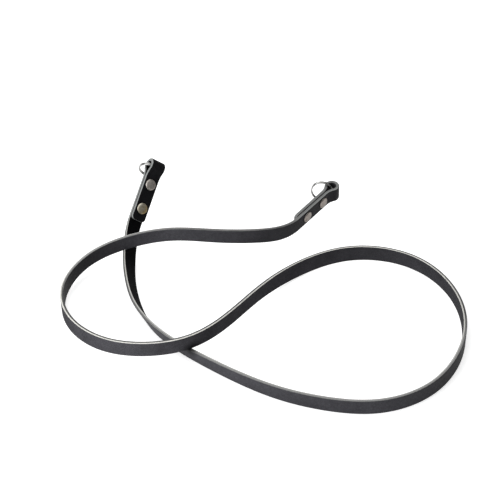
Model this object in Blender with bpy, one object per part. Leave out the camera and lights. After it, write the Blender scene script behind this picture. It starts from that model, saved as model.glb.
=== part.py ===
"""Flat leather carrying strap, laid in a figure of eight with its two ends hanging up.

One strip of leather stands on its edge along most of its way. Each end is folded round a split
ring and held to itself by two double-cap rivets. Units are metres, +X right, +Y away, +Z up.
The origin is the centre of the left ring, where the left end hangs.
"""

import math
from collections import namedtuple

import bmesh
import bpy
import numpy as np
from mathutils import Matrix

# Leather
STRAP_WIDTH = 0.0127
STRAP_THICKNESS = 0.0028
EDGE_BEVEL = 0.0005
CLEARANCE = 0.0003

# Folded ends
EYE_RADIUS = 0.0033
TIP_TO_RIVET = 0.0215
RIVET_SPACING = 0.021
RIVET_TO_TAIL_END = 0.0105
TAIL_CORNER_RADIUS = 0.003

# Rivets
CAP_DIAMETER = 0.0094
CAP_RIM = 0.0005
CAP_DOME = 0.0008
STEM_DIAMETER = 0.0032
RIVET_SIDES = 24

# Split rings
RING_DIAMETER = 0.019
RING_WIRE = 0.0012
RING_TURN_GAP = 0.00015
RING_JOG_DEGREES = 34.0
RING_SLACK = 0.0005

# Where the ends hang, over the surface that the loops stand on
EYE_SPAN = 0.1488
RIGHT_EYE_FORWARD = 0.0113
LEFT_EYE_HEIGHT = 0.0578
RIGHT_EYE_HEIGHT = 0.0412

# The figure of eight, measured along the middle of the strap
LOOP_SPAN = 0.3125
LOOP_REACH = 0.2335
ROUTE_STEP = 0.006

# A folded end: heading and rise of its tip, lean of the strap's upper edge to the left of travel,
# which layer its ring encloses, how far from the eye's middle the ring sits, how it swings towards
# the tip and tilts in the eye, and where its wire starts
FoldedEnd = namedtuple("FoldedEnd", "heading rise lean ring_side ring_seat ring_swing ring_tilt ring_turn")
LEFT_END = FoldedEnd(65.5, 40.5, -36.0, "strap", 0.0, -19.0, 9.0, 200.0)
RIGHT_END = FoldedEnd(50.0, 8.0, -5.0, "tail", 0.0015, -30.0, 8.0, 150.0)

# The route between the straight stretches of the two ends, from the left one. across and toward
# are shares of LOOP_SPAN and LOOP_REACH from the left eye, hang is a share of LEFT_EYE_HEIGHT and
# over a share of the lift that clears the lower strand, both for the strap's lower edge, and lean
# is in degrees.
RouteRow = namedtuple("RouteRow", "across toward hang over lean")
ROUTE = (
    RouteRow(-0.061, 0.231, 0.061, 0.00, -40),
    RouteRow(-0.054, 0.353, 0.005, 0.00, -35),
    RouteRow(-0.034, 0.476, 0.000, 0.00, -32),
    RouteRow(0.004, 0.592, 0.000, 0.00, -23),
    RouteRow(0.065, 0.693, 0.000, 0.00, -18),
    RouteRow(0.141, 0.780, 0.000, 0.00, -14),
    RouteRow(0.226, 0.862, 0.000, 0.00, -10),
    RouteRow(0.321, 0.935, 0.000, 0.00, -6),
    RouteRow(0.429, 0.984, 0.000, 0.00, -4),
    RouteRow(0.550, 0.996, 0.000, 0.00, -2),
    RouteRow(0.668, 0.928, 0.000, 0.00, 0),
    RouteRow(0.750, 0.786, 0.000, 0.00, 3),
    RouteRow(0.785, 0.606, 0.000, 0.00, -1),
    RouteRow(0.764, 0.415, 0.000, 0.00, 1),
    RouteRow(0.673, 0.257, 0.000, 0.00, -2),
    RouteRow(0.524, 0.213, 0.000, 0.00, -7),
    RouteRow(0.383, 0.305, 0.000, 0.06, -11),
    RouteRow(0.279, 0.462, 0.000, 0.37, -2),
    RouteRow(0.198, 0.635, 0.000, 0.77, -1),
    RouteRow(0.094, 0.769, 0.000, 1.00, 2),
    RouteRow(-0.037, 0.774, 0.000, 0.74, 2),
    RouteRow(-0.139, 0.686, 0.000, 0.26, -1),
    RouteRow(-0.203, 0.559, 0.005, 0.00, 0),
    RouteRow(-0.216, 0.412, 0.017, 0.00, 2),
    RouteRow(-0.162, 0.285, 0.112, 0.00, -4),
    RouteRow(-0.060, 0.231, 0.260, 0.00, -6),
    RouteRow(0.052, 0.234, 0.398, 0.00, -8),
    RouteRow(0.162, 0.283, 0.519, 0.00, -6),
    RouteRow(0.280, 0.306, 0.588, 0.00, -3),
)

# Sizes that follow from the ones above
LAYER_OFFSET = (STRAP_THICKNESS + CLEARANCE) / 2
EYE_BEND = EYE_RADIUS + STRAP_THICKNESS / 2
EYE_TO_RIVET = TIP_TO_RIVET - EYE_RADIUS - STRAP_THICKNESS
FLAT_LENGTH = EYE_TO_RIVET + RIVET_SPACING + RIVET_TO_TAIL_END
FLARE_LENGTH = EYE_TO_RIVET - CAP_DIAMETER / 2 - CLEARANCE
FLARE_BEND = (FLARE_LENGTH**2 - EYE_BEND**2 + LAYER_OFFSET**2) / (2 * (EYE_BEND - LAYER_OFFSET))
RIVET_POSITIONS = (-EYE_TO_RIVET, -EYE_TO_RIVET - RIVET_SPACING)
CAP_SEAT = STRAP_THICKNESS + CLEARANCE * 1.5
CROSSING_LIFT = math.hypot(STRAP_WIDTH, STRAP_THICKNESS) + 2 * CLEARANCE

Station = namedtuple("Station", "centre wide face half_width half_thickness")
Fold = namedtuple("Fold", "eye tip back wide end")


def unit(vector):
    return vector / np.linalg.norm(vector)


def direction(heading, rise):
    """Unit vector at a heading from +X and a rise over the horizontal, in degrees."""
    turn, climb = math.radians(heading), math.radians(rise)
    return np.array((math.cos(turn) * math.cos(climb), math.sin(turn) * math.cos(climb), math.sin(climb)))


def across_strap(tangent, lean):
    """The direction from the strap's lower edge to its upper one."""
    upright = unit(np.array((0.0, 0.0, 1.0)) - tangent[2] * tangent)
    right = np.cross(tangent, upright)
    angle = math.radians(lean)
    return math.cos(angle) * upright - math.sin(angle) * right


def centre_height(lift, lean):
    """Height of the strap's middle when its lowest edge is at lift."""
    angle = math.radians(abs(lean))
    return lift + math.cos(angle) * STRAP_WIDTH / 2 + math.sin(angle) * STRAP_THICKNESS / 2


def folded_end(foot, end, travel):
    """The frame of a folded end. foot is the point of the strap's middle line beside the eye, and
    travel is 1 where the strap runs towards the tip and -1 where it runs away from it."""
    tip = direction(end.heading, end.rise)
    wide = across_strap(tip * travel, end.lean)
    smooth_face = np.cross(tip * travel, wide)
    return Fold(foot - smooth_face * LAYER_OFFSET, tip, -smooth_face, wide, end)


def on_fold(fold, along, side):
    return fold.eye + fold.tip * along + fold.back * side


def fold_line():
    """(along, side, tangent along, tangent side) of the folded strap's middle line, from where its
    straight stretch ends, round the eye, to where the tail starts to lie flat."""
    flare_angle = math.atan2(FLARE_LENGTH, LAYER_OFFSET + FLARE_BEND)
    flare = []
    for angle in np.linspace(0, flare_angle, 6)[:-1]:
        along = FLARE_BEND * math.sin(angle) - FLARE_LENGTH
        side = -LAYER_OFFSET - FLARE_BEND * (1 - math.cos(angle))
        flare.append((along, side, math.cos(angle), -math.sin(angle)))
    eye = []
    reach = math.pi / 2 + flare_angle
    for angle in np.linspace(-reach, reach, 25):
        eye.append((EYE_BEND * math.cos(angle), EYE_BEND * math.sin(angle), -math.sin(angle), math.cos(angle)))
    back = [(along, -side, -t_along, t_side) for along, side, t_along, t_side in reversed(flare)]
    return flare + eye + back


def tail_half_width(to_end):
    """Half the tail's width at a distance from its end, whose corners are rounded."""
    inset = max(TAIL_CORNER_RADIUS - to_end, 0.0)
    return STRAP_WIDTH / 2 - TAIL_CORNER_RADIUS + math.sqrt(TAIL_CORNER_RADIUS**2 - inset**2)


def fold_stations(fold, travel):
    """Stations from the strap's straight stretch round the eye to the tail's end. travel is as in
    folded_end, and the caller turns the list round where the strap starts at its tail."""
    found = []

    def add(along, side, t_along, t_side, half_width):
        tangent = (fold.tip * t_along + fold.back * t_side) * travel
        face = np.cross(tangent, fold.wide)
        found.append(Station(on_fold(fold, along, side), fold.wide, face, half_width, STRAP_THICKNESS / 2))

    for along in np.linspace(-FLAT_LENGTH, -FLARE_LENGTH, 5)[1:-1]:
        add(along, -LAYER_OFFSET, 1, 0, STRAP_WIDTH / 2)
    for along, side, t_along, t_side in fold_line():
        add(along, side, t_along, t_side, STRAP_WIDTH / 2)
    for along in np.linspace(-FLARE_LENGTH, TAIL_CORNER_RADIUS - FLAT_LENGTH, 4)[1:-1]:
        add(along, LAYER_OFFSET, -1, 0, STRAP_WIDTH / 2)
    for share in (1.0, 0.7, 0.42, 0.2, 0.06, 0.0):
        to_end = share * TAIL_CORNER_RADIUS
        add(to_end - FLAT_LENGTH, LAYER_OFFSET, -1, 0, tail_half_width(to_end))
    return found


def spline_slopes(rows, spans, first, last):
    """Slopes of the smooth cubic through rows, with its end slopes given."""
    count = len(rows)
    matrix = np.eye(count)
    right_side = np.zeros_like(rows)
    right_side[0], right_side[-1] = first, last
    for i in range(1, count - 1):
        before, after = spans[i - 1], spans[i]
        matrix[i, i - 1 : i + 2] = after, 2 * (before + after), before
        rise_before = (rows[i] - rows[i - 1]) / before
        rise_after = (rows[i + 1] - rows[i]) / after
        right_side[i] = 3 * (after * rise_before + before * rise_after)
    return np.linalg.solve(matrix, right_side)


def route_stations(start, start_tangent, finish, finish_tangent):
    """Stations of the strap between its two straight stretches, both ends included."""
    rows = [(*start, LEFT_END.lean)]
    for row in ROUTE:
        lift = row.hang * LEFT_EYE_HEIGHT + row.over * CROSSING_LIFT
        rows.append((row.across * LOOP_SPAN, -row.toward * LOOP_REACH, centre_height(lift, row.lean), row.lean))
    rows.append((*finish, RIGHT_END.lean))
    rows = np.array(rows)
    spans = np.linalg.norm(np.diff(rows[:, :3], axis=0), axis=1)
    slopes = spline_slopes(rows, spans, (*start_tangent, 0.0), (*finish_tangent, 0.0))
    found = []
    for i, span in enumerate(spans):
        steps = math.ceil(span / ROUTE_STEP)
        last = i == len(spans) - 1
        for t in np.linspace(0, 1, steps + 1)[: steps + last]:
            place = (
                (2 * t**3 - 3 * t**2 + 1) * rows[i]
                + (3 * t**2 - 2 * t**3) * rows[i + 1]
                + (t**3 - 2 * t**2 + t) * span * slopes[i]
                + (t**3 - t**2) * span * slopes[i + 1]
            )
            slope = (
                6 * (t**2 - t) * (rows[i] - rows[i + 1]) / span
                + (3 * t**2 - 4 * t + 1) * slopes[i]
                + (3 * t**2 - 2 * t) * slopes[i + 1]
            )
            tangent = unit(slope[:3])
            wide = across_strap(tangent, place[3])
            face = np.cross(tangent, wide)
            found.append(Station(place[:3], wide, face, STRAP_WIDTH / 2, STRAP_THICKNESS / 2))
    return found


def bevelled_section(station):
    """The eight corners of the strap's cross-section at a station."""
    outer_w, outer_t = station.half_width, station.half_thickness
    inner_w, inner_t = outer_w - EDGE_BEVEL, outer_t - EDGE_BEVEL
    quarter = ((inner_w, outer_t), (outer_w, inner_t))
    corners = [*quarter]
    corners += [(w, -t) for w, t in reversed(quarter)]
    corners += [(-w, -t) for w, t in quarter]
    corners += [(-w, t) for w, t in reversed(quarter)]
    return [station.centre + station.wide * w + station.face * t for w, t in corners]


def round_section(station, sides=8):
    """The corners of a round wire's cross-section at a station."""
    corners = []
    for i in range(sides):
        angle = 2 * math.pi * (i + 0.5) / sides
        offset = station.wide * math.cos(angle) + station.face * math.sin(angle)
        corners.append(station.centre + offset * station.half_width)
    return corners


def mesh_object(name, bm, material, parent):
    """A smooth-shaded object from a bmesh, with its faces turned out."""
    bmesh.ops.recalc_face_normals(bm, faces=bm.faces)
    mesh = bpy.data.meshes.new(name)
    bm.to_mesh(mesh)
    bm.free()
    mesh.materials.append(material)
    mesh.shade_smooth()
    mesh.set_sharp_from_angle(angle=math.radians(35))
    made = bpy.data.objects.new(name, mesh)
    made.parent = parent
    bpy.context.collection.objects.link(made)
    return made


def swept(name, stations, section, material, parent):
    """A closed solid swept through stations, with a flat cap at each end."""
    bm = bmesh.new()
    loops = [[bm.verts.new(corner) for corner in section(station)] for station in stations]
    sides = len(loops[0])
    for near, far in zip(loops, loops[1:]):
        for i in range(sides):
            j = (i + 1) % sides
            bm.faces.new((near[i], near[j], far[j], far[i]))
    bm.faces.new(loops[0])
    bm.faces.new(loops[-1])
    return mesh_object(name, bm, material, parent)


def turned(name, profile, sides, material, parent):
    """A solid turned about local Z from (radius, height) pairs that start and end on the axis."""
    bm = bmesh.new()
    bottom = bm.verts.new((0, 0, profile[0][1]))
    top = bm.verts.new((0, 0, profile[-1][1]))
    rings = []
    for radius, height in profile[1:-1]:
        angles = [2 * math.pi * i / sides for i in range(sides)]
        rings.append([bm.verts.new((radius * math.cos(a), radius * math.sin(a), height)) for a in angles])
    for i in range(sides):
        j = (i + 1) % sides
        bm.faces.new((bottom, rings[0][j], rings[0][i]))
        bm.faces.new((top, rings[-1][i], rings[-1][j]))
        for low, high in zip(rings, rings[1:]):
            bm.faces.new((low[i], low[j], high[j], high[i]))
    return mesh_object(name, bm, material, parent)


def place_on_fold(made, fold, along):
    """Stands an object's local Z across both layers of a folded end."""
    side = np.cross(fold.back, fold.wide)
    axes = np.column_stack((fold.wide, side, fold.back))
    made.matrix_local = Matrix.LocRotScale(on_fold(fold, along, 0.0), Matrix(axes.tolist()), None)


def rivet_profile():
    """Half of a double-cap rivet's outline, bottom to top, about the middle of its stem."""
    cap, stem = CAP_DIAMETER / 2, STEM_DIAMETER / 2
    rim = CAP_SEAT + CAP_RIM
    upper = [(stem, CAP_SEAT), (cap, CAP_SEAT), (cap, rim)]
    for share in (0.86, 0.62, 0.34):
        upper.append((cap * share, rim + CAP_DOME * (1 - share**2)))
    upper.append((0.0, rim + CAP_DOME))
    return [(radius, -height) for radius, height in reversed(upper)] + upper


def rivet(name, fold, along, material, parent):
    made = turned(name, rivet_profile(), RIVET_SIDES, material, parent)
    place_on_fold(made, fold, along)


def cut_rivet_hole(strap, fold, along, number, material, parent):
    """Drills both layers of a folded end, with clearance round the rivet's stem."""
    radius, half_depth = STEM_DIAMETER / 2 + CLEARANCE, STRAP_THICKNESS * 1.6
    profile = [(0, -half_depth), (radius, -half_depth), (radius, half_depth), (0, half_depth)]
    cutter = turned(f"rivet_hole_cutter_{number}", profile, RIVET_SIDES, material, parent)
    place_on_fold(cutter, fold, along)
    cutter.hide_render = True
    cutter.display_type = "WIRE"
    hole = strap.modifiers.new(f"rivet hole {number}", "BOOLEAN")
    hole.operation = "DIFFERENCE"
    hole.solver = "EXACT"
    hole.object = cutter


def ring_frame(fold):
    """(centre, towards the centre from the eye, along the wire in the eye, axis) of an end's ring."""
    mean_radius = (RING_DIAMETER - RING_WIRE) / 2
    bulge = mean_radius - math.sqrt(mean_radius**2 - (STRAP_WIDTH / 2) ** 2)
    enclosed = -fold.back if fold.end.ring_side == "strap" else fold.back
    swing, tilt = math.radians(fold.end.ring_swing), math.radians(fold.end.ring_tilt)
    inward = math.cos(swing) * enclosed + math.sin(swing) * fold.tip
    wire = math.cos(tilt) * fold.wide + math.sin(tilt) * np.cross(inward, fold.wide)
    centre = fold.eye - fold.tip * fold.end.ring_seat + inward * (mean_radius - bulge / 2 - RING_SLACK)
    return centre, inward, wire, np.cross(inward, wire)


def split_ring(name, fold, material, parent):
    """Two turns of wire side by side, with the jog where one turn passes to the other."""
    centre, inward, wire, axis = ring_frame(fold)
    mean_radius = (RING_DIAMETER - RING_WIRE) / 2
    half_pitch = (RING_WIRE + RING_TURN_GAP) / 2
    jog = math.radians(RING_JOG_DEGREES)
    whole = 4 * math.pi - jog
    stations = []
    for angle in np.linspace(0, whole, 73):
        share = min(max((angle - 2 * math.pi + jog) / jog, 0.0), 1.0)
        level = half_pitch * (2 * (3 * share**2 - 2 * share**3) - 1)
        turn = angle + math.radians(fold.end.ring_turn)
        outward = inward * math.cos(turn) + wire * math.sin(turn)
        place = centre + outward * mean_radius + axis * level
        stations.append(Station(place, outward, axis, RING_WIRE / 2, RING_WIRE / 2))
    return swept(name, stations, round_section, material, parent)


def principled(name, colour, roughness, metallic):
    material = bpy.data.materials.new(name)
    material.use_nodes = True
    shader = material.node_tree.nodes["Principled BSDF"]
    shader.inputs["Base Color"].default_value = (*colour, 1.0)
    shader.inputs["Roughness"].default_value = roughness
    shader.inputs["Metallic"].default_value = metallic
    return material


def build():
    for old in list(bpy.data.objects):
        bpy.data.objects.remove(old)

    left_foot = np.array((0.0, 0.0, LEFT_EYE_HEIGHT))
    right_foot = np.array((EYE_SPAN, -RIGHT_EYE_FORWARD, RIGHT_EYE_HEIGHT))
    left = folded_end(left_foot, LEFT_END, -1)
    right = folded_end(right_foot, RIGHT_END, 1)

    origin = bpy.data.objects.new("left_ring_centre", None)
    origin.location = -ring_frame(left)[0]
    bpy.context.collection.objects.link(origin)

    leather = principled("black leather", (0.030, 0.030, 0.034), 0.55, 0.0)
    start, finish = left_foot - left.tip * FLAT_LENGTH, right_foot - right.tip * FLAT_LENGTH
    stations = list(reversed(fold_stations(left, -1)))
    stations += route_stations(start, -left.tip, finish, right.tip)
    stations += fold_stations(right, 1)
    strap = swept("strap", stations, bevelled_section, leather, origin)

    number = 0
    for side, fold in (("left", left), ("right", right)):
        steel = principled(f"{side} ring steel", (0.62, 0.62, 0.60), 0.25, 1.0)
        split_ring(f"{side}_ring", fold, steel, origin)
        for place, along in zip(("upper", "lower"), RIVET_POSITIONS):
            nickel = principled(f"{side} {place} rivet nickel", (0.50, 0.46, 0.40), 0.38, 1.0)
            rivet(f"{side}_{place}_rivet", fold, along, nickel, origin)
            number += 1
            cut_rivet_hole(strap, fold, along, number, leather, origin)


build()
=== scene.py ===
"""Looks of the coiled leather strap: leather, split rings, rivets, floor, light and view.

The strap's sizes and route are the ones of the solid model. Units are metres, and the origin is
the centre of the left ring.
"""

import math
from collections import namedtuple

import bmesh
import bpy
import numpy as np
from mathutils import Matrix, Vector


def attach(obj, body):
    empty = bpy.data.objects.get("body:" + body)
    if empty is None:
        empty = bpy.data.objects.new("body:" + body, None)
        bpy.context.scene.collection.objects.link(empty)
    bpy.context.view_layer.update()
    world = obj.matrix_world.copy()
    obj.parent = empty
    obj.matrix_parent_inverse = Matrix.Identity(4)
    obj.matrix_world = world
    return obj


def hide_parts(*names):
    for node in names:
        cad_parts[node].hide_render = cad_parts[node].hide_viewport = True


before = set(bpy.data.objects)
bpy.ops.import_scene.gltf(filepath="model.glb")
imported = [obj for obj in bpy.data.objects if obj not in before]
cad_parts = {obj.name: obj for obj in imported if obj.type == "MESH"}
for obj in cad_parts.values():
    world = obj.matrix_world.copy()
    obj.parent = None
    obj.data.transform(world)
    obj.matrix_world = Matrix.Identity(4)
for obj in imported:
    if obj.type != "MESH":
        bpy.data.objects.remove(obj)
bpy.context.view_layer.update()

# Leather
LEATHER_LENGTH = 1.373
STRAP_WIDTH = 0.0127
STRAP_THICKNESS = 0.0028
CLEARANCE = 0.0003

# Folded ends
EYE_RADIUS = 0.0033
TIP_TO_RIVET = 0.0215
RIVET_SPACING = 0.021
RIVET_TO_TAIL_END = 0.0105
TAIL_CORNER_RADIUS = 0.003

# Rivets and rings
CAP_DIAMETER = 0.0094
STEM_DIAMETER = 0.0032
RING_DIAMETER = 0.019
RING_WIRE = 0.0012
RING_TURN_GAP = 0.00015
RING_JOG_DEGREES = 34.0
RING_SLACK = 0.0005

# Half of a rivet's profile in millimetres, from the crown of its cap to under the rim
CAP_PROFILE = (
    (0.0, 4.42), (0.7, 4.415), (1.4, 4.385), (2.1, 4.33), (2.75, 4.235), (3.3, 4.11),
    (3.8, 3.94), (4.2, 3.74), (4.46, 3.53), (4.62, 3.32), (4.69, 3.12), (4.68, 2.96),
    (4.60, 2.84), (4.44, 2.77), (4.1, 2.74),
)

# Where the ends hang, over the surface that the loops stand on
EYE_SPAN = 0.1488
RIGHT_EYE_FORWARD = 0.0113
LEFT_EYE_HEIGHT = 0.0578
RIGHT_EYE_HEIGHT = 0.0412

# The figure of eight, measured along the middle of the strap
LOOP_SPAN = 0.3125
LOOP_REACH = 0.2335

# Angles in degrees. The ring side is the layer of leather that the ring goes round.
FoldedEnd = namedtuple(
    "FoldedEnd", "heading rise lean ring_side ring_seat ring_swing ring_tilt ring_turn"
)
LEFT_END = FoldedEnd(
    heading=65.5, rise=40.5, lean=-36.0,
    ring_side="strap", ring_seat=0.0, ring_swing=-19.0, ring_tilt=9.0, ring_turn=200.0,
)
RIGHT_END = FoldedEnd(
    heading=50.0, rise=8.0, lean=-5.0,
    ring_side="tail", ring_seat=0.0015, ring_swing=-30.0, ring_tilt=8.0, ring_turn=150.0,
)

# Shares of the loops' span and reach, of the left eye's height and of the lift at the crossing,
# and the strap's lean in degrees. Across, toward and lean weren't chosen by hand: they are the
# results of a fit to the strap's outline in the photo. Hang and over follow chosen heights.
RouteRow = namedtuple("RouteRow", "across toward hang over lean")
ROUTE = (
    RouteRow(-0.061, 0.231, 0.061, 0.00, -40),
    RouteRow(-0.054, 0.353, 0.005, 0.00, -35),
    RouteRow(-0.034, 0.476, 0.000, 0.00, -32),
    RouteRow(0.004, 0.592, 0.000, 0.00, -23),
    RouteRow(0.065, 0.693, 0.000, 0.00, -18),
    RouteRow(0.141, 0.780, 0.000, 0.00, -14),
    RouteRow(0.226, 0.862, 0.000, 0.00, -10),
    RouteRow(0.321, 0.935, 0.000, 0.00, -6),
    RouteRow(0.429, 0.984, 0.000, 0.00, -4),
    RouteRow(0.550, 0.996, 0.000, 0.00, -2),
    RouteRow(0.668, 0.928, 0.000, 0.00, 0),
    RouteRow(0.750, 0.786, 0.000, 0.00, 3),
    RouteRow(0.785, 0.606, 0.000, 0.00, -1),
    RouteRow(0.764, 0.415, 0.000, 0.00, 1),
    RouteRow(0.673, 0.257, 0.000, 0.00, -2),
    RouteRow(0.524, 0.213, 0.000, 0.00, -7),
    RouteRow(0.383, 0.305, 0.000, 0.06, -11),
    RouteRow(0.279, 0.462, 0.000, 0.37, -2),
    RouteRow(0.198, 0.635, 0.000, 0.77, -1),
    RouteRow(0.094, 0.769, 0.000, 1.00, 2),
    RouteRow(-0.037, 0.774, 0.000, 0.74, 2),
    RouteRow(-0.139, 0.686, 0.000, 0.26, -1),
    RouteRow(-0.203, 0.559, 0.005, 0.00, 0),
    RouteRow(-0.216, 0.412, 0.017, 0.00, 2),
    RouteRow(-0.162, 0.285, 0.112, 0.00, -4),
    RouteRow(-0.060, 0.231, 0.260, 0.00, -6),
    RouteRow(0.052, 0.234, 0.398, 0.00, -8),
    RouteRow(0.162, 0.283, 0.519, 0.00, -6),
    RouteRow(0.280, 0.306, 0.588, 0.00, -3),
)

# Tones in broad zones along the leather, as (share of its length, tone). They follow how light the
# leather is in the photo, which is partly its dye and wear and partly painted light and shade from
# the light that falls there.
EDGE_TONES = ((0.0, 0.4), (0.10, 0.6), (0.35, 0.7), (0.50, 0.9), (0.74, 1.0), (0.86, 0.3))
NAP_TONES = ((0.0, 0.05), (0.14, 0.05), (0.20, 0.5), (0.63, 0.5), (0.68, 1.0), (0.76, 0.5))
GRAIN_TONES = (
    (0.0, 0.15), (0.06, 0.15), (0.18, 0.9), (0.32, 0.9),
    (0.37, 0.3), (0.78, 0.3), (0.83, 1.0), (0.93, 0.3),
)

# Along the leather, how far the dye soaked into the cut edge: 1 is right through its dark half
EDGE_DYE = (
    (0.0, 0.5), (0.12, 1.0), (0.20, 0.0), (0.38, 0.0), (0.41, 1.0), (0.75, 1.0), (0.78, 0.0),
)

# Along the leather, where it is doubled with the rough sides together: 1 is doubled
FOLDED = ((0.0, 1.0), (0.07, 1.0), (0.09, 0.0), (0.91, 0.0), (0.93, 1.0))

# Colours through the cut edge, from 0 at the rough side to 1 at the smooth side
DARK_LAYERS = (
    (0.0, (0.16, 0.16, 0.16)),
    (0.05, (0.60, 0.60, 0.57)),
    (0.11, (1.0, 0.99, 0.93)),
    (0.34, (0.97, 0.96, 0.90)),
    (0.43, (0.20, 0.20, 0.19)),
    (0.49, (0.035, 0.035, 0.035)),
    (0.66, (0.055, 0.055, 0.054)),
    (0.80, (0.06, 0.06, 0.059)),
    (0.90, (0.02, 0.02, 0.022)),
)
PALE_LAYERS = (
    (0.0, (0.30, 0.30, 0.30)),
    (0.06, (0.80, 0.80, 0.77)),
    (0.34, (0.78, 0.78, 0.75)),
    (0.42, (0.30, 0.30, 0.30)),
    (0.48, (0.36, 0.36, 0.355)),
    (0.72, (0.42, 0.42, 0.41)),
    (0.84, (0.22, 0.22, 0.22)),
    (0.91, (0.04, 0.04, 0.042)),
)
# Where the leather is doubled, the dark band at the rough side of each layer is painted shade of
# the gap between the two layers.
FOLDED_LAYERS = (
    (0.0, (0.04, 0.04, 0.04)),
    (0.13, (0.09, 0.09, 0.09)),
    (0.26, (0.55, 0.57, 0.56)),
    (0.50, (0.34, 0.36, 0.355)),
    (0.72, (0.80, 0.84, 0.82)),
    (0.88, (0.62, 0.65, 0.64)),
    (0.94, (0.06, 0.06, 0.062)),
)
EDGE_STREAK = (0.10, 0.10, 0.10)
EDGE_BLOTCH = (0.20, 0.20, 0.195)

# The smooth side's dye and the rough side's nap, from their darker patches to their paler ones
GRAIN_DYE = (
    (0.30, (0.055, 0.0545, 0.062)), (0.55, (0.069, 0.068, 0.077)), (0.8, (0.088, 0.087, 0.099)),
)
GRAIN_STREAK = (0.128, 0.126, 0.142)
GRAIN_WORN = (0.06, 0.06, 0.063)
NAP_DYE = (
    (0.3, (0.079, 0.078, 0.087)), (0.6, (0.107, 0.105, 0.118)), (0.85, (0.143, 0.141, 0.158)),
)
NAP_FIBRE = (0.255, 0.252, 0.278)

# The caps' plating, its duller patches and its painted shade on the side that faces down and to the
# right
NICKEL = ((0.58, 0.54, 0.50), (0.46, 0.42, 0.38), (0.19, 0.172, 0.155))
DULLER_NICKEL = ((0.39, 0.355, 0.33), (0.28, 0.25, 0.225), (0.18, 0.158, 0.14))
BRASSY_NICKEL = ((0.60, 0.56, 0.46), (0.44, 0.40, 0.31), (0.18, 0.135, 0.065))
HANDLING_MARK = (0.25, 0.23, 0.20)
BRIGHT_STEEL, DULL_STEEL = (0.40, 0.40, 0.39), (0.28, 0.28, 0.27)

# A painted shadow where the strands cross, as a dark spot: its place from under the left eye, how
# dark it is, and how far off it starts and stops fading
CROSSING_PLACE = (0.0355, -0.1762, 0.0130)
CROSSING_SHADE = 0.04
CROSSING_FADE = (0.0015, 0.0085)

# Detail that only the looks have
ROUTE_STEP = 0.0018
FLAT_STATIONS, FLARE_STATIONS, EYE_STATIONS, TAIL_STATIONS = 46, 9, 49, 43
FACE_POINTS, EDGE_POINTS = 15, 5
CORNER_RADIUS = 0.0005
CORNER_DEGREES = (22.5, 45.0, 67.5)
EDGE_CROWN = 0.00012
CAP_DENT = 0.00022
CAP_DENT_REACH = 0.0016
OUTER_FACES_FROM = 0.8 * STRAP_THICKNESS
CAP_SIDES = 56
RING_STEPS, WIRE_SIDES = 250, 16
STRAP_SHARP_DEGREES, METAL_SHARP_DEGREES = 50, 40

# The tail's rounded end: shares of its corner radius that are left, then the same with the
# leather's thickness there
TAIL_CORNER_SHARES = (1.0, 0.85, 0.7, 0.55, 0.42, 0.3, 0.2, 0.12, 0.06)
TAIL_LIP = ((0.03, 0.97), (0.01, 0.9), (0.0, 0.78))

# A cut end of the ring's wire: radians from the cut, and the share of the wire's radius there
WIRE_END = ((0.0, 0.55), (0.006, 0.82), (0.016, 1.0))
WIRE_END_REACH = 0.03

# The small wander of each cut edge, from waves of (radians per metre, share, phase)
EDGE_WANDER = 0.00007
WANDER_WAVES = ((61.0, 0.5, 1.7), (137.0, 0.3, 2.7), (293.0, 0.2, 3.7))
UPPER_WANDER_SEED, LOWER_WANDER_SEED = 3.1, 7.4

# Units of the strap's two texture maps, where the middle of the section lies in the second, and
# how far from there the smooth side's corners start to wear and are fully worn
ALONG_SCALE = 10
ACROSS_SCALE = 100
ACROSS_MIDDLE = 1
WORN_CORNER = (0.54, 0.62)

# The light and the floor
LIGHT_TARGET = (0.09, -0.11, -0.04)
WORLD_STRENGTH = 0.25
FLOOR_REACH = 4
FLOOR_GLOW = 0.6

# The view: its place from the origin, its pitch over straight down and its lens
VIEW_PLACE = (0.08379, -0.99777, 0.66817)
VIEW_PITCH = 53.0
VIEW_LENS = 103.8
VIEW_SENSOR = 36.0
VIEW_SHIFT = (-0.001, 0.001)

LAYER_OFFSET = (STRAP_THICKNESS + CLEARANCE) / 2
EYE_BEND = EYE_RADIUS + STRAP_THICKNESS / 2
EYE_TO_RIVET = TIP_TO_RIVET - EYE_RADIUS - STRAP_THICKNESS
FLAT_LENGTH = EYE_TO_RIVET + RIVET_SPACING + RIVET_TO_TAIL_END
FLARE_LENGTH = EYE_TO_RIVET - CAP_DIAMETER / 2 - CLEARANCE
FLARE_BEND = (FLARE_LENGTH**2 - EYE_BEND**2 + LAYER_OFFSET**2) / (2 * (EYE_BEND - LAYER_OFFSET))
RIVET_POSITIONS = (-EYE_TO_RIVET, -EYE_TO_RIVET - RIVET_SPACING)
CROSSING_LIFT = math.hypot(STRAP_WIDTH, STRAP_THICKNESS) + 2 * CLEARANCE
RING_MEAN_RADIUS = (RING_DIAMETER - RING_WIRE) / 2

# The strap's material slots
SMOOTH_SIDE, ROUGH_SIDE, CUT_EDGE = 0, 1, 2

Station = namedtuple("Station", "centre wide face half_width thin")
Fold = namedtuple("Fold", "eye tip back wide end")


def unit(vector):
    return vector / np.linalg.norm(vector)


def direction(heading, rise):
    turn, climb = math.radians(heading), math.radians(rise)
    level = math.cos(climb)
    return np.array((math.cos(turn) * level, math.sin(turn) * level, math.sin(climb)))


def across_strap(tangent, lean):
    upright = unit(np.array((0.0, 0.0, 1.0)) - tangent[2] * tangent)
    angle = math.radians(lean)
    return math.cos(angle) * upright - math.sin(angle) * np.cross(tangent, upright)


def centre_height(lift, lean):
    angle = math.radians(abs(lean))
    return lift + math.cos(angle) * STRAP_WIDTH / 2 + math.sin(angle) * STRAP_THICKNESS / 2


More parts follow.
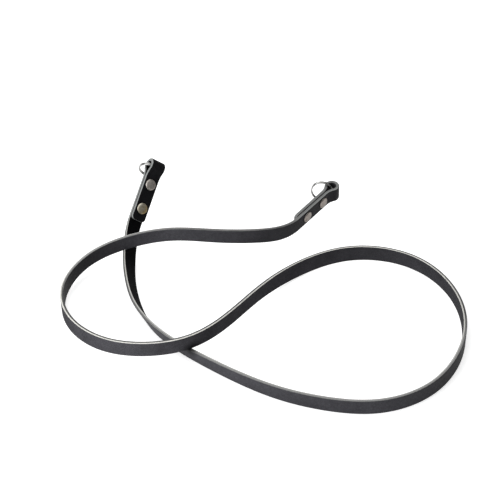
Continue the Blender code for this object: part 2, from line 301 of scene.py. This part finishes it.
def folded_end(foot, end, travel):
    """Travel is 1 where the strap runs to the tip, and -1 where it comes from it."""
    tip = direction(end.heading, end.rise)
    wide = across_strap(tip * travel, end.lean)
    smooth_face = np.cross(tip * travel, wide)
    return Fold(foot - smooth_face * LAYER_OFFSET, tip, -smooth_face, wide, end)


def on_fold(fold, along, side):
    return fold.eye + fold.tip * along + fold.back * side


def fold_line():
    """(along, side, tangent along, tangent side) down one flare, round the eye and back."""
    flare_angle = math.atan2(FLARE_LENGTH, LAYER_OFFSET + FLARE_BEND)
    flare = []
    for angle in np.linspace(0, flare_angle, FLARE_STATIONS)[:-1]:
        along = FLARE_BEND * math.sin(angle) - FLARE_LENGTH
        side = -LAYER_OFFSET - FLARE_BEND * (1 - math.cos(angle))
        flare.append((along, side, math.cos(angle), -math.sin(angle)))
    reach = math.pi / 2 + flare_angle
    eye = [
        (EYE_BEND * math.cos(a), EYE_BEND * math.sin(a), -math.sin(a), math.cos(a))
        for a in np.linspace(-reach, reach, EYE_STATIONS)
    ]
    back = [(along, -side, -t_along, t_side) for along, side, t_along, t_side in reversed(flare)]
    return flare + eye + back


def tail_half_width(to_end):
    inset = max(TAIL_CORNER_RADIUS - to_end, 0.0)
    corner = math.sqrt(TAIL_CORNER_RADIUS**2 - inset**2)
    return STRAP_WIDTH / 2 - TAIL_CORNER_RADIUS + corner


def fold_stations(fold, travel):
    """Stations from the strap's straight stretch round the eye to the tail's end."""
    found = []

    def add(along, side, t_along, t_side, half_width=STRAP_WIDTH / 2, thin=1.0):
        tangent = (fold.tip * t_along + fold.back * t_side) * travel
        face = np.cross(tangent, fold.wide)
        found.append(Station(on_fold(fold, along, side), fold.wide, face, half_width, thin))

    for along in np.linspace(-FLAT_LENGTH, -FLARE_LENGTH, FLAT_STATIONS)[1:-1]:
        add(along, -LAYER_OFFSET, 1, 0)
    for along, side, t_along, t_side in fold_line():
        add(along, side, t_along, t_side)
    for along in np.linspace(-FLARE_LENGTH, TAIL_CORNER_RADIUS - FLAT_LENGTH, TAIL_STATIONS)[1:-1]:
        add(along, LAYER_OFFSET, -1, 0)
    for share, thin in tuple((share, 1.0) for share in TAIL_CORNER_SHARES) + TAIL_LIP:
        to_end = share * TAIL_CORNER_RADIUS
        add(to_end - FLAT_LENGTH, LAYER_OFFSET, -1, 0, tail_half_width(to_end), thin)
    return found


def spline_slopes(rows, spans, first, last):
    count = len(rows)
    matrix = np.eye(count)
    right_side = np.zeros_like(rows)
    right_side[0], right_side[-1] = first, last
    for i in range(1, count - 1):
        before, after = spans[i - 1], spans[i]
        matrix[i, i - 1 : i + 2] = after, 2 * (before + after), before
        rise_before = (rows[i] - rows[i - 1]) / before
        rise_after = (rows[i + 1] - rows[i]) / after
        right_side[i] = 3 * (after * rise_before + before * rise_after)
    return np.linalg.solve(matrix, right_side)


def route_stations(start, start_tangent, finish, finish_tangent):
    """Stations along the figure of eight, on a smooth curve through the rows of its route."""
    rows = [(*start, LEFT_END.lean)]
    for row in ROUTE:
        height = centre_height(row.hang * LEFT_EYE_HEIGHT + row.over * CROSSING_LIFT, row.lean)
        rows.append((row.across * LOOP_SPAN, -row.toward * LOOP_REACH, height, row.lean))
    rows.append((*finish, RIGHT_END.lean))
    rows = np.array(rows)
    spans = np.linalg.norm(np.diff(rows[:, :3], axis=0), axis=1)
    slopes = spline_slopes(rows, spans, (*start_tangent, 0.0), (*finish_tangent, 0.0))
    found = []
    for i, span in enumerate(spans):
        steps = math.ceil(span / ROUTE_STEP)
        last = i == len(spans) - 1
        for t in np.linspace(0, 1, steps + 1)[: steps + last]:
            place = (
                (2 * t**3 - 3 * t**2 + 1) * rows[i]
                + (3 * t**2 - 2 * t**3) * rows[i + 1]
                + (t**3 - 2 * t**2 + t) * span * slopes[i]
                + (t**3 - t**2) * span * slopes[i + 1]
            )
            slope = (
                6 * (t**2 - t) * (rows[i] - rows[i + 1]) / span
                + (3 * t**2 - 4 * t + 1) * slopes[i]
                + (3 * t**2 - 2 * t) * slopes[i + 1]
            )
            tangent = unit(slope[:3])
            wide = across_strap(tangent, place[3])
            face = np.cross(tangent, wide)
            found.append(Station(place[:3], wide, face, STRAP_WIDTH / 2, 1.0))
    return found


def strap_section():
    """(across, through, slot) of the points of the strap's outline. The slot is that of the side
    that starts at the point."""
    half_w, half_t, r = STRAP_WIDTH / 2, STRAP_THICKNESS / 2, CORNER_RADIUS
    points = [(w, half_t, SMOOTH_SIDE) for w in np.linspace(-(half_w - r), half_w - r, FACE_POINTS)]
    for degrees in CORNER_DEGREES:
        angle = math.radians(degrees)
        slot = SMOOTH_SIDE if degrees < 45 else CUT_EDGE
        points.append((half_w - r + r * math.sin(angle), half_t - r + r * math.cos(angle), slot))
    for t in np.linspace(half_t - r, r - half_t, EDGE_POINTS):
        crown = EDGE_CROWN * (1 - (t / (half_t - r)) ** 2)
        points.append((half_w + crown - EDGE_CROWN / 2, t, CUT_EDGE))
    for degrees in CORNER_DEGREES:
        angle = math.radians(degrees)
        slot = CUT_EDGE if degrees < 45 else ROUGH_SIDE
        points.append((half_w - r + r * math.cos(angle), r - half_t - r * math.sin(angle), slot))
    opposite = {SMOOTH_SIDE: ROUGH_SIDE, ROUGH_SIDE: SMOOTH_SIDE, CUT_EDGE: CUT_EDGE}
    return points + [(-w, -t, opposite[slot]) for w, t, slot in points]


def wander(s, seed):
    return EDGE_WANDER * sum(
        share * math.sin(s * pace + seed * phase) for pace, share, phase in WANDER_WAVES
    )


def strap_vertices(stations, lengths, section, folds):
    """The section at each station, with wandering edges and a dent under each rivet cap."""
    vertices = []
    for station, s in zip(stations, lengths):
        scale = station.half_width / (STRAP_WIDTH / 2)
        upper, lower = wander(s, UPPER_WANDER_SEED), wander(s, LOWER_WANDER_SEED)
        for w, t, _ in section:
            moved = (upper if w > 0 else lower) * (abs(w) / (STRAP_WIDTH / 2)) ** 4
            place = w * scale + math.copysign(moved, w) if w else 0.0
            vertices.append(station.centre + station.wide * place + station.face * t * station.thin)
    vertices = np.array(vertices)
    dent_radius = CAP_DIAMETER / 2 + CAP_DENT_REACH
    for fold in folds:
        for along in RIVET_POSITIONS:
            offset = vertices - on_fold(fold, along, 0.0)
            side = offset @ fold.back
            radius = np.linalg.norm(offset - side[:, None] * fold.back, axis=1)
            near = (abs(side) > OUTER_FACES_FROM) & (radius < dent_radius)
            fall = np.clip((dent_radius - radius) / CAP_DENT_REACH, 0, 1)
            dent = np.where(near, CAP_DENT * fall**2 * (3 - 2 * fall), 0.0)
            vertices -= (np.sign(side) * dent)[:, None] * fold.back
    return vertices


def strap_faces(count, section):
    """The corners of each face as (station, point of the section), and its slot."""
    sides = range(len(section))
    faces = []
    for k in range(count - 1):
        for i in sides:
            j = (i + 1) % len(section)
            faces.append((((k, i), (k, j), (k + 1, j), (k + 1, i)), section[i][2]))
    faces.append(([(0, i) for i in reversed(sides)], CUT_EDGE))
    faces.append(([(count - 1, i) for i in sides], CUT_EDGE))
    return faces


def strap_object(stations, folds, shift):
    section = strap_section()
    centres = np.array([station.centre for station in stations])
    steps = np.linalg.norm(np.diff(centres, axis=0), axis=1)
    lengths = np.concatenate(([0.0], np.cumsum(steps)))
    vertices = strap_vertices(stations, lengths, section, folds) + shift
    faces = strap_faces(len(stations), section)

    mesh = bpy.data.meshes.new("strap_leather")
    rows = [[k * len(section) + i for k, i in corners] for corners, _ in faces]
    mesh.from_pydata(vertices.tolist(), [], rows)
    mesh.polygons.foreach_set("material_index", [slot for _, slot in faces])
    along, across = [], []
    for corners, _ in faces:
        for k, i in corners:
            w, t, _ = section[i]
            along += [lengths[k] * ALONG_SCALE, (w + t) * ALONG_SCALE]
            across += [w * ACROSS_SCALE + ACROSS_MIDDLE, t * ACROSS_SCALE + ACROSS_MIDDLE]
    for name, values in (("along", along), ("across", across)):
        mesh.uv_layers.new(name=name).data.foreach_set("uv", values)
    bm = bmesh.new()
    bm.from_mesh(mesh)
    return add_mesh(mesh, bm, STRAP_SHARP_DEGREES)


def add_object(name, data):
    made = bpy.data.objects.new(name, data)
    bpy.context.collection.objects.link(made)
    return made


def add_mesh(mesh, bm, sharp_degrees):
    """An object of the mesh, with what bm holds, its faces outwards and smooth shading."""
    bmesh.ops.recalc_face_normals(bm, faces=bm.faces)
    bm.to_mesh(mesh)
    bm.free()
    mesh.shade_smooth()
    mesh.set_sharp_from_angle(angle=math.radians(sharp_degrees))
    return add_object(mesh.name, mesh)


def circle(centre, a_axis, b_axis, radius, sides):
    """Points round a centre, from one axis to the other."""
    angles = [2 * math.pi * i / sides for i in range(sides)]
    return [centre + (a_axis * math.cos(a) + b_axis * math.sin(a)) * radius for a in angles]


def lathe(name, profile, sides, origin, axes):
    """A solid turned about the third of the given axes, from (radius, height) pairs that start and
    end on the axis."""
    bm = bmesh.new()
    x_axis, y_axis, z_axis = axes
    first = bm.verts.new(origin + z_axis * profile[0][1])
    final = bm.verts.new(origin + z_axis * profile[-1][1])
    rings = [
        [bm.verts.new(p) for p in circle(origin + z_axis * height, x_axis, y_axis, radius, sides)]
        for radius, height in profile[1:-1]
    ]
    for i in range(sides):
        j = (i + 1) % sides
        bm.faces.new((first, rings[0][j], rings[0][i]))
        bm.faces.new((final, rings[-1][i], rings[-1][j]))
        for low, high in zip(rings, rings[1:]):
            bm.faces.new((low[i], low[j], high[j], high[i]))
    return add_mesh(bpy.data.meshes.new(name), bm, METAL_SHARP_DEGREES)


def rivet_object(name, fold, along, shift):
    """A stem with a cap at each end, through both layers of the fold."""
    upper = [(radius / 1000, height / 1000) for radius, height in reversed(CAP_PROFILE)]
    upper = [(STEM_DIAMETER / 2, upper[0][1])] + upper
    profile = [(radius, -height) for radius, height in reversed(upper)] + upper
    axes = (fold.wide, np.cross(fold.back, fold.wide), fold.back)
    return lathe(name, profile, CAP_SIDES, on_fold(fold, along, 0.0) + shift, axes)


def ring_frame(fold):
    """The ring's centre, its directions from the eye and across the strap, and its axis."""
    bulge = RING_MEAN_RADIUS - math.sqrt(RING_MEAN_RADIUS**2 - (STRAP_WIDTH / 2) ** 2)
    enclosed = -fold.back if fold.end.ring_side == "strap" else fold.back
    swing, tilt = math.radians(fold.end.ring_swing), math.radians(fold.end.ring_tilt)
    inward = math.cos(swing) * enclosed + math.sin(swing) * fold.tip
    wire = math.cos(tilt) * fold.wide + math.sin(tilt) * np.cross(inward, fold.wide)
    seat = fold.eye - fold.tip * fold.end.ring_seat
    centre = seat + inward * (RING_MEAN_RADIUS - bulge / 2 - RING_SLACK)
    return centre, inward, wire, np.cross(inward, wire)


def ring_object(name, fold, shift):
    """Two turns of round wire with a jog, and cut ends that are a little rounded."""
    centre, inward, wire, axis = ring_frame(fold)
    half_pitch = (RING_WIRE + RING_TURN_GAP) / 2
    jog = math.radians(RING_JOG_DEGREES)
    whole = 4 * math.pi - jog
    middle = np.linspace(WIRE_END_REACH, whole - WIRE_END_REACH, RING_STEPS)
    steps = list(WIRE_END)
    steps += [(angle, 1.0) for angle in middle]
    steps += [(whole - angle, size) for angle, size in reversed(WIRE_END)]
    bm = bmesh.new()
    rings = []
    for angle, size in steps:
        share = min(max((angle - 2 * math.pi + jog) / jog, 0.0), 1.0)
        level = half_pitch * (2 * (3 * share**2 - 2 * share**3) - 1)
        turn = angle + math.radians(fold.end.ring_turn)
        outward = inward * math.cos(turn) + wire * math.sin(turn)
        place = centre + outward * RING_MEAN_RADIUS + axis * level + shift
        section = circle(place, outward, axis, RING_WIRE / 2 * size, WIRE_SIDES)
        rings.append([bm.verts.new(p) for p in section])
    for near, far in zip(rings, rings[1:]):
        for i in range(WIRE_SIDES):
            j = (i + 1) % WIRE_SIDES
            bm.faces.new((near[i], near[j], far[j], far[i]))
    bm.faces.new(rings[0])
    bm.faces.new(rings[-1])
    return add_mesh(bpy.data.meshes.new(name), bm, METAL_SHARP_DEGREES)


class Shader:
    """A material under construction, with short calls for its nodes and links."""

    def __init__(self, name):
        self.material = bpy.data.materials.new(name)
        self.material.use_nodes = True
        self.tree = self.material.node_tree
        self.surface = self.tree.nodes["Principled BSDF"]

    def node(self, kind, values=None, **settings):
        made = self.tree.nodes.new(kind)
        for key, value in settings.items():
            setattr(made, key, value)
        for key, value in (values or {}).items():
            self.put(made, key, value)
        return made

    def put(self, node, key, value):
        if isinstance(value, bpy.types.NodeSocket):
            self.tree.links.new(value, node.inputs[key])
        else:
            node.inputs[key].default_value = value

    def set(self, **values):
        """Inputs of the surface, with _ for each space in their names."""
        for key, value in values.items():
            self.put(self.surface, key.replace("_", " "), value)

    def coordinates(self, kind):
        return self.node("ShaderNodeTexCoord").outputs[kind]

    def uv(self, name):
        return self.node("ShaderNodeUVMap", uv_map=name).outputs["UV"]

    def component(self, vector, index):
        return self.node("ShaderNodeSeparateXYZ", {0: vector}).outputs[index]

    def stretched(self, vector, scale):
        return self.node("ShaderNodeMapping", {"Vector": vector, "Scale": scale}).outputs["Vector"]

    def noise(self, vector, scale, detail=3.0, rough=0.55, distortion=0.0):
        values = {
            "Vector": vector, "Scale": scale, "Detail": detail,
            "Roughness": rough, "Distortion": distortion,
        }
        return self.node("ShaderNodeTexNoise", values).outputs["Fac"]

    def cells(self, vector, scale, feature="F1"):
        values = {"Vector": vector, "Scale": scale}
        return self.node("ShaderNodeTexVoronoi", values, feature=feature).outputs["Distance"]

    def math(self, operation, a, b=0.0):
        return self.node("ShaderNodeMath", {0: a, 1: b}, operation=operation).outputs[0]

    def distance(self, vector, point):
        values = {0: vector, 1: tuple(point)}
        return self.node("ShaderNodeVectorMath", values, operation="DISTANCE").outputs["Value"]

    def span(self, value, low, high, to=(0.0, 1.0)):
        values = {
            "Value": value, "From Min": low, "From Max": high, "To Min": to[0], "To Max": to[1],
        }
        return self.node("ShaderNodeMapRange", values).outputs["Result"]

    def ramp(self, value, stops):
        node = self.node("ShaderNodeValToRGB", {"Fac": value})
        elements = node.color_ramp.elements
        while len(elements) < len(stops):
            elements.new(0.5)
        for element, (position, colour) in zip(elements, stops):
            element.position = position
            element.color = (*colour, 1.0)
        return node.outputs["Color"]

    def greys(self, value, stops):
        return self.ramp(value, tuple((position, (grey, grey, grey)) for position, grey in stops))

    def mix(self, factor, a, b, blend="MIX"):
        node = self.node("ShaderNodeMix", data_type="RGBA", blend_type=blend)
        self.put(node, "Factor", factor)
        for key, value in ((6, a), (7, b)):
            self.put(node, key, value if isinstance(value, bpy.types.NodeSocket) else (*value, 1.0))
        return node.outputs[2]

    def multiplied(self, colour, *tones):
        for tone in tones:
            colour = self.mix(1.0, colour, tone, "MULTIPLY")
        return colour

    def relief(self, *layers):
        """Bumps of (height, strength, distance), each on top of those before it."""
        normal = None
        for height, strength, distance in layers:
            values = {"Height": height, "Strength": strength, "Distance": distance}
            if normal is not None:
                values["Normal"] = normal
            normal = self.node("ShaderNodeBump", values).outputs["Normal"]
        return normal


def length_tone(shader, along, table):
    """A grey from a table of (share of the leather's length, value)."""
    share = shader.math("DIVIDE", shader.component(along, 0), LEATHER_LENGTH * ALONG_SCALE)
    return shader.greys(share, table)


def deep_shade(shader, space, crossing):
    """A grey of painted shadow, darker where one strand lies close over the other."""
    near = shader.span(shader.distance(space, crossing), *CROSSING_FADE)
    return shader.greys(near, ((0.0, CROSSING_SHADE), (1.0, 1.0)))


def grain_leather(crossing):
    """Smooth dyed side: fine pores, faint lengthwise marks, worn corners."""
    m = Shader("grain leather")
    space = m.coordinates("Object")
    along = m.uv("along")
    mottle = m.noise(space, 55.0, detail=4.0)
    fine = m.noise(space, 900.0, detail=4.0, rough=0.6)
    speck = m.noise(space, 1250.0, rough=0.65)
    pebble = m.noise(space, 480.0, detail=2.0, rough=0.6)
    streaks = m.noise(m.stretched(along, (6.0, 120.0, 1.0)), 6.0, detail=5.0, rough=0.62)
    pores = m.cells(space, 1500.0)
    creases = m.cells(m.stretched(along, (22.0, 60.0, 1.0)), 14.0, feature="DISTANCE_TO_EDGE")

    streaked = m.span(streaks, 0.52, 0.75, to=(0.0, 0.35))
    colour = m.mix(streaked, m.ramp(mottle, GRAIN_DYE), GRAIN_STREAK)
    # Among the greys multiplied in: tones along the length, partly painted light and shade, and a
    # painted shadow where the strands cross.
    colour = m.multiplied(
        colour,
        m.greys(speck, ((0.32, 0.66), (0.68, 1.0))),
        m.greys(pebble, ((0.30, 0.77), (0.70, 1.0))),
        length_tone(m, along, GRAIN_TONES),
        deep_shade(m, space, crossing),
    )
    across = m.component(m.uv("across"), 0)
    from_middle = m.math("ABSOLUTE", m.math("SUBTRACT", across, ACROSS_MIDDLE))
    patchy = m.span(fine, 0.38, 0.66, to=(0.15, 0.9))
    worn = m.math("MULTIPLY", m.span(from_middle, *WORN_CORNER), patchy)
    colour = m.mix(m.math("MULTIPLY", worn, 0.45), colour, GRAIN_WORN)

    normal = m.relief(
        (pores, 0.35, 0.00012),
        (m.span(creases, 0.0, 0.12), 0.12, 0.00010),
        (streaks, 0.18, 0.00010),
        (fine, 0.25, 0.00008),
    )
    texture = m.math("ADD", m.math("MULTIPLY", fine, 0.6), m.math("MULTIPLY", mottle, 0.4))
    rough = m.span(texture, 0.3, 0.7, to=(0.46, 0.62))
    m.set(Base_Color=colour, Roughness=rough, Normal=normal, Specular_IOR_Level=0.045)
    return m.material


def flesh_leather(crossing):
    """Rough side: short napped fibres pressed along the strap."""
    m = Shader("flesh leather")
    space = m.coordinates("Object")
    along = m.uv("along")
    mottle = m.noise(space, 70.0, detail=4.0)
    nap = m.noise(space, 1400.0, detail=5.0, rough=0.7, distortion=0.4)
    speck = m.noise(space, 1150.0, detail=4.0, rough=0.7)
    lengthwise = m.stretched(along, (30.0, 190.0, 1.0))
    fibres = m.noise(lengthwise, 7.0, detail=6.0, rough=0.7, distortion=0.8)
    tufts = m.noise(m.stretched(along, (40.0, 70.0, 1.0)), 9.0, rough=0.65, distortion=0.5)

    colour = m.mix(m.span(fibres, 0.5, 0.74, to=(0.0, 0.55)), m.ramp(mottle, NAP_DYE), NAP_FIBRE)
    # Among the greys multiplied in: tones along the length, partly painted light and shade, and a
    # painted shadow where the strands cross.
    colour = m.multiplied(
        colour,
        m.greys(speck, ((0.30, 0.5), (0.70, 1.0))),
        m.greys(tufts, ((0.32, 0.60), (0.68, 1.0))),
        length_tone(m, along, NAP_TONES),
        deep_shade(m, space, crossing),
    )
    normal = m.relief((nap, 0.55, 0.00022), (fibres, 0.5, 0.00025))
    rough = m.span(fibres, 0.3, 0.7, to=(0.72, 0.9))
    m.set(Base_Color=colour, Roughness=rough, Normal=normal, Specular_IOR_Level=0.03)
    return m.material


def edge_leather(crossing):
    """Cut edge: pale burnished core towards the rough side, dark where the dye soaked in under the
    smooth side, and darker along some stretches than along others, partly from painted light and
    shade."""
    m = Shader("cut edge leather")
    space = m.coordinates("Object")
    along = m.uv("along")
    drift = m.noise(m.stretched(along, (1.0, 0.0, 0.0)), 60.0, detail=4.0, rough=0.6)
    lengthwise = m.stretched(along, (9.0, 260.0, 1.0))
    streaks = m.noise(lengthwise, 8.0, detail=5.0, rough=0.65, distortion=0.3)
    blotch = m.noise(space, 160.0, detail=4.0, rough=0.6)
    nap = m.noise(space, 1500.0)

    half = STRAP_THICKNESS / 2 * ACROSS_SCALE
    through = m.math("SUBTRACT", m.component(m.uv("across"), 1), ACROSS_MIDDLE)
    level = m.math("ADD", m.span(through, -half, half), m.span(drift, 0.3, 0.7, to=(-0.07, 0.07)))
    dye = length_tone(m, along, EDGE_DYE)
    layers = m.mix(dye, m.ramp(level, PALE_LAYERS), m.ramp(level, DARK_LAYERS))
    # Where doubled, the edge takes the folded layers, with their painted shade of the gap between
    # the layers.
    layers = m.mix(length_tone(m, along, FOLDED), layers, m.ramp(level, FOLDED_LAYERS))

    # Tones along the length, partly painted light and shade.
    colour = m.multiplied(layers, length_tone(m, along, EDGE_TONES))
    colour = m.mix(m.span(streaks, 0.36, 0.6, to=(0.55, 0.0)), colour, EDGE_STREAK)
    colour = m.mix(m.span(blotch, 0.45, 0.7, to=(0.0, 0.3)), colour, EDGE_BLOTCH)
    # A painted shadow where the strands cross.
    colour = m.multiplied(colour, deep_shade(m, space, crossing))
    normal = m.relief((streaks, 0.4, 0.00015), (nap, 0.25, 0.00008))
    rough = m.span(streaks, 0.3, 0.7, to=(0.36, 0.52))
    m.set(Base_Color=colour, Roughness=rough, Normal=normal, Specular_IOR_Level=0.45)
    return m.material


def worn_and_shaded_nickel(name, bright, dull, painted_shade):
    """Plated cap: faint mottling, handling marks, a duller tint in patches and painted shade that
    deepens towards the side that faces down and to the right."""
    m = Shader(name)
    space = m.coordinates("Object")
    box = m.coordinates("Generated")
    patches = m.noise(space, 420.0, detail=4.0, rough=0.6)
    marks = m.noise(m.stretched(space, (1.0, 3.0, 1.0)), 2600.0, detail=4.0, rough=0.7)
    colour = m.mix(m.span(patches, 0.35, 0.68), bright, dull)
    colour = m.mix(m.span(marks, 0.55, 0.8, to=(0.0, 0.3)), colour, HANDLING_MARK)
    # Painted shade: the colour darkens towards the side of the cap that faces down and to the
    # right.
    down_right = m.math("SUBTRACT", m.component(box, 0), m.component(box, 2))
    ragged = m.math("ADD", down_right, m.span(patches, 0.3, 0.7, to=(-0.12, 0.12)))
    colour = m.mix(m.span(ragged, -0.3, 0.4), colour, painted_shade)
    normal = m.relief((patches, 0.25, 0.00010), (marks, 0.12, 0.00004))
    rough = m.span(patches, 0.3, 0.7, to=(0.36, 0.5))
    m.set(Base_Color=colour, Roughness=rough, Normal=normal, Metallic=1.0)
    return m.material


def ring_steel():
    """Bright plated spring wire with fine drawing marks."""
    m = Shader("ring steel")
    space = m.coordinates("Object")
    marks = m.noise(space, 1800.0, rough=0.6)
    tint = m.noise(space, 300.0)
    colour = m.mix(m.span(tint, 0.35, 0.7), BRIGHT_STEEL, DULL_STEEL)
    rough = m.span(marks, 0.3, 0.7, to=(0.13, 0.26))
    m.set(Base_Color=colour, Roughness=rough, Normal=m.relief((marks, 0.1, 0.00003)), Metallic=1.0)
    return m.material


def pale_floor():
    """Near-white floor that also gives off some light, to come out as pale as the photo's."""
    m = Shader("pale floor")
    tone = m.noise(m.coordinates("Object"), 3.0, detail=2.0)
    colour = m.mix(m.span(tone, 0.3, 0.7), (0.80, 0.80, 0.805), (0.815, 0.815, 0.82))
    m.set(Base_Color=colour, Roughness=0.75, Specular_IOR_Level=0.2)
    m.set(Emission_Color=(1.0, 1.0, 1.0, 1.0), Emission_Strength=FLOOR_GLOW)
    return m.material


def dress(piece, node, slot, *materials):
    for material in materials:
        piece.data.materials.append(material)
    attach(piece, "root")
    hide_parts(node)


def area_light(name, place, size, power, colour):
    data = bpy.data.lights.new(name, "AREA")
    data.shape = "DISK"
    data.size = size
    data.energy = power
    data.color = colour
    made = add_object(name, data)
    made.location = place
    aim = Vector(LIGHT_TARGET) - Vector(place)
    made.rotation_euler = aim.to_track_quat("-Z", "Y").to_euler()


left_foot = np.array((0.0, 0.0, LEFT_EYE_HEIGHT))
right_foot = np.array((EYE_SPAN, -RIGHT_EYE_FORWARD, RIGHT_EYE_HEIGHT))
left = folded_end(left_foot, LEFT_END, -1)
right = folded_end(right_foot, RIGHT_END, 1)
shift = -ring_frame(left)[0]

start = left_foot - left.tip * FLAT_LENGTH
finish = right_foot - right.tip * FLAT_LENGTH
stations = list(reversed(fold_stations(left, -1)))
stations += route_stations(start, -left.tip, finish, right.tip)
stations += fold_stations(right, 1)
crossing = np.array(CROSSING_PLACE) + shift
leathers = (grain_leather(crossing), flesh_leather(crossing), edge_leather(crossing))
strap = strap_object(stations, (left, right), shift)
dress(strap, "strap", "black_leather", *leathers)

steel = ring_steel()
nickel = worn_and_shaded_nickel("rivet nickel", *NICKEL)
duller = worn_and_shaded_nickel("duller rivet nickel", *DULLER_NICKEL)
brassy = worn_and_shaded_nickel("brassy rivet nickel", *BRASSY_NICKEL)
finishes = {"left_upper_rivet": nickel, "left_lower_rivet": brassy}
for side, fold in (("left", left), ("right", right)):
    dress(ring_object(f"{side}_split_ring", fold, shift), f"{side}_ring", "ring_steel", steel)
    for place, along in zip(("upper", "lower"), RIVET_POSITIONS):
        node = f"{side}_{place}_rivet"
        rivet = rivet_object(f"{node}_cap", fold, along, shift)
        dress(rivet, node, "rivet_nickel", finishes.get(node, duller))

floor_mesh = bpy.data.meshes.new("floor")
floor_corners = [
    (x * FLOOR_REACH, y * FLOOR_REACH, shift[2]) for x, y in ((-1, -1), (1, -1), (1, 1), (-1, 1))
]
floor_mesh.from_pydata(floor_corners, [], [(0, 1, 2, 3)])
floor_mesh.materials.append(pale_floor())
floor = add_object("floor", floor_mesh)

area_light("overhead softbox", (-0.15, 0.35, 1.8), size=2.4, power=26.0, colour=(1.0, 0.995, 0.985))
area_light("left softbox", (-1.0, -0.85, 0.75), size=1.1, power=16.0, colour=(0.985, 0.99, 1.0))
world = bpy.data.worlds.new("studio")
bpy.context.scene.world = world
world.use_nodes = True
background = world.node_tree.nodes["Background"]
background.inputs["Color"].default_value = (1.0, 1.0, 1.0, 1.0)
background.inputs["Strength"].default_value = WORLD_STRENGTH

view = bpy.data.cameras.new("view")
view.lens = VIEW_LENS
view.sensor_width = VIEW_SENSOR
view.shift_x, view.shift_y = VIEW_SHIFT
view_object = add_object("view", view)
view_object.location = VIEW_PLACE
view_object.rotation_euler = (math.radians(VIEW_PITCH), 0.0, 0.0)
bpy.context.scene.camera = view_object
bpy.context.scene.view_settings.view_transform = "Standard"
